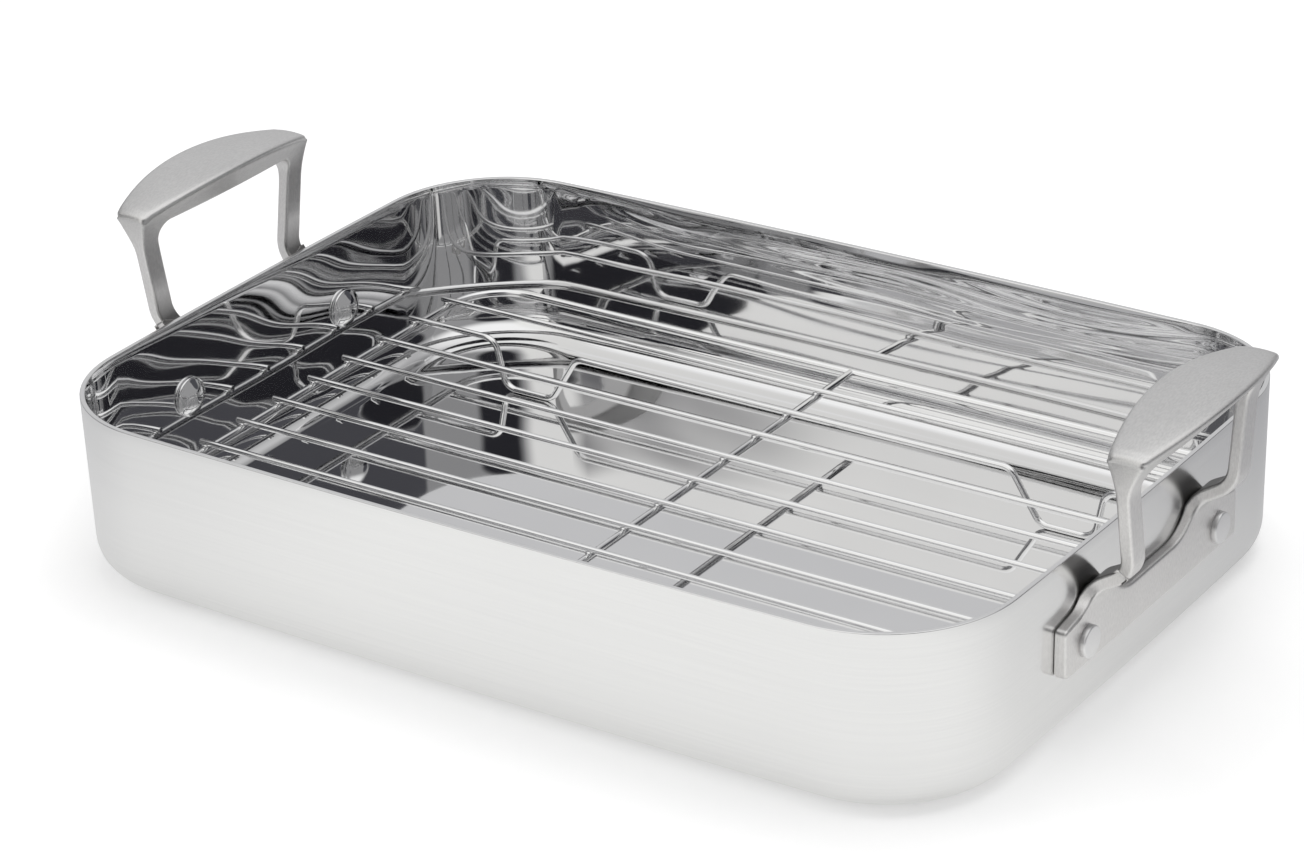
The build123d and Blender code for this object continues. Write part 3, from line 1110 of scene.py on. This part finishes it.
# What the steel mirrors: aim, degrees from it where a tone is full and where it ends, and its colour
dim_studio = (0.32, 0.32, 0.325)
studio_tones = (
    (unit(0, 0, 1), 28, 52, (1.04, 1.04, 1.04)),
    (unit(-0.50, 0.735, 0.457), 18, 36, (0.62, 0.62, 0.63)),
    (unit(-0.36, -0.72, 0.58), 26, 38, (0.94, 0.935, 0.92)),
    (unit(-0.72, -0.57, 0.40), 15, 18.5, (0.12, 0.12, 0.13)),
    (unit(0.60, -0.70, 0.39), 16, 24, (0.025, 0.025, 0.03)),
    (unit(0.53, 0.73, 0.41), 13, 18, (0.075, 0.075, 0.085)),
)


def add_world():
    """White for the camera, even light on matt surfaces, and a studio of soft tones for steel."""
    world = bpy.data.worlds.new("studio")
    bpy.context.scene.world = world
    world.use_nodes = True
    world.cycles.sampling_method = "NONE"
    tree = world.node_tree
    tree.nodes.clear()
    node = tree.nodes.new
    link = tree.links.new
    direction = node("ShaderNodeTexCoord").outputs["Generated"]
    tone = node("ShaderNodeRGB")
    tone.outputs[0].default_value = (*dim_studio, 1)
    tone = tone.outputs[0]
    for aim, full, edge, colour in studio_tones:
        dot = node("ShaderNodeVectorMath")
        dot.operation = "DOT_PRODUCT"
        dot.inputs[1].default_value = aim
        link(direction, dot.inputs[0])
        reach = node("ShaderNodeMapRange")
        reach.interpolation_type = "SMOOTHSTEP"
        reach.inputs["From Min"].default_value = math.cos(math.radians(edge))
        reach.inputs["From Max"].default_value = math.cos(math.radians(full))
        link(dot.outputs["Value"], reach.inputs["Value"])
        mix = node("ShaderNodeMixRGB")
        link(reach.outputs["Result"], mix.inputs["Fac"])
        link(tone, mix.inputs["Color1"])
        mix.inputs["Color2"].default_value = (*colour, 1)
        tone = mix.outputs["Color"]
    rays = node("ShaderNodeLightPath")
    mirrored = node("ShaderNodeBackground")
    link(tone, mirrored.inputs["Color"])
    even = node("ShaderNodeBackground")
    white = node("ShaderNodeBackground")
    for background, strength in ((even, even_light), (white, 1.0)):
        background.inputs["Color"].default_value = (1, 1, 1, 1)
        background.inputs["Strength"].default_value = strength
    glossy = node("ShaderNodeMixShader")
    link(rays.outputs["Is Glossy Ray"], glossy.inputs["Fac"])
    link(even.outputs[0], glossy.inputs[1])
    link(mirrored.outputs[0], glossy.inputs[2])
    seen = node("ShaderNodeMixShader")
    link(rays.outputs["Is Camera Ray"], seen.inputs["Fac"])
    link(glossy.outputs[0], seen.inputs[1])
    link(white.outputs[0], seen.inputs[2])
    out = node("ShaderNodeOutputWorld")
    link(seen.outputs[0], out.inputs["Surface"])


def add_area(name, place, aim, size, power):
    """Soft lamp for the matt surfaces. The steel mirrors the studio tones in its place."""
    light = bpy.data.lights.new(name, "AREA")
    light.shape = "RECTANGLE"
    light.size, light.size_y = size
    light.energy = power
    obj = bpy.data.objects.new(name, light)
    obj.location = place
    obj.rotation_euler = (Vector(aim) - Vector(place)).to_track_quat("-Z", "Y").to_euler()
    obj.visible_glossy = False
    bpy.context.scene.collection.objects.link(obj)


# Camera, in radians, millimetres and pixels of the photograph
camera_turns = (-0.6052, 0.4457, -0.0371)
camera_place = (771.78, -1129.49, 701.92)
focal_length_px = 3996.4
photo_width_px = 1304
sensor_width = 36.0


def add_camera():
    yaw, pitch, roll = camera_turns
    right = Vector((math.cos(yaw), -math.sin(yaw), 0))
    forward = Vector((math.sin(yaw) * math.cos(pitch), math.cos(yaw) * math.cos(pitch),
                      -math.sin(pitch)))
    up = right.cross(forward)
    rolled_right = right * math.cos(roll) + up * math.sin(roll)
    rolled_up = up * math.cos(roll) - right * math.sin(roll)
    camera = bpy.data.cameras.new("camera")
    camera.sensor_width = sensor_width
    camera.lens = focal_length_px / photo_width_px * sensor_width
    camera.clip_end = 50.0
    obj = bpy.data.objects.new("camera", camera)
    turn = Matrix((rolled_right, rolled_up, -forward)).transposed()
    obj.matrix_world = Matrix.Translation(Vector(camera_place) * MM) @ turn.to_4x4()
    bpy.context.scene.collection.objects.link(obj)
    bpy.context.scene.camera = obj


bpy.context.scene.view_settings.view_transform = "Standard"
add_camera()
add_world()
add_floor()
add_area("overhead", (0.2, 0.3, 1.6), (0, 0, 0), (1.6, 1.2), 10)
add_area("front_left", (-1.4, -0.9, 1.1), (0, 0, 0.05), (1.0, 1.0), 5)

pan = add_pan(brushed_outside(), polished_inside())
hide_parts("pan_shell")
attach(pan, "pan")
handle_steel = cast_satin()
for handle_side in (1, -1):
    add_handle(handle_side, handle_steel)
add_rivets(rivet_steel("rivet_outer", 0.88, 0.94, 0.36), rivet_steel("rivet_inner", 0.82, 0.90, 0.03))
add_rack(bright_wire())
